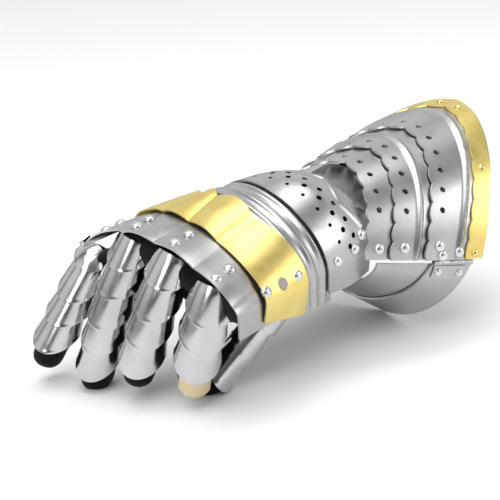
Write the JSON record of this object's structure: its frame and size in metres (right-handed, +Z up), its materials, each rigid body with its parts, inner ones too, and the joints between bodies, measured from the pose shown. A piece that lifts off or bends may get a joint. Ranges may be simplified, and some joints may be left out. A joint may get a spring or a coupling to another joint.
{
  "type": "armoured gauntlet",
  "caption": "Polished steel hourglass gauntlet for the right hand with scalloped pierced lames, brass trim and a black suede glove.",
  "frame": {"origin": "centre of the footprint's bounding box, on the surface it rests on", "axes": "+X from the fingers towards the cuff mouth, -Y towards the thumb side, +Z up"},
  "size_m": [0.2976, 0.1632, 0.1388],
  "materials": {
    "steel": "polished sheet with faint brush lines",
    "brass": "satin yellow brass",
    "pale_brass": "pale worn brass",
    "suede": "matt black suede"
  },
  "bodies": {
    "gauntlet_body": {"cuff_front_lame": "steel", "cuff_middle_lame": "steel", "cuff_rear_plate": "steel", "cuff_brass_band": "brass", "hinge_barrel": "steel", "wrist_plate": "steel", "hand_plate": "steel", "fluted_lame": "steel", "brass_plate": "brass", "knuckle_plate": "steel", "index_scale_1": "steel", "index_scale_2": "steel", "index_scale_3": "steel", "middle_scale_1": "steel", "middle_scale_2": "steel", "middle_scale_3": "steel", "middle_scale_4": "steel", "ring_scale_1": "steel", "ring_scale_2": "steel", "ring_scale_3": "steel", "ring_scale_4": "steel", "ring_scale_5": "steel", "pinky_scale_1": "steel", "pinky_scale_2": "steel", "pinky_scale_3": "steel", "pinky_scale_4": "steel", "thumb_scale_1": "steel", "thumb_scale_2": "steel", "thumb_scale_3": "steel", "index_tip": "pale_brass", "glove_index": "suede", "glove_middle": "suede", "glove_ring": "suede", "glove_pinky": "suede", "glove_thumb": "suede", "glove_hand": "suede"},
    "inner_cuff": {"inner_cuff_rear": "steel", "inner_cuff_front": "steel", "hinge_leaf": "steel", "clasp": "steel"}
  },
  "joints": [
    {"name": "inner_cuff_hinge", "type": "hinge", "parent": "gauntlet_body", "child": "inner_cuff", "pos_m": [0.07405, -0.0731, 0.05428], "axis": [-0.9611, 0.2075, 0.1822], "range_deg": [0, 100]}
  ]
}
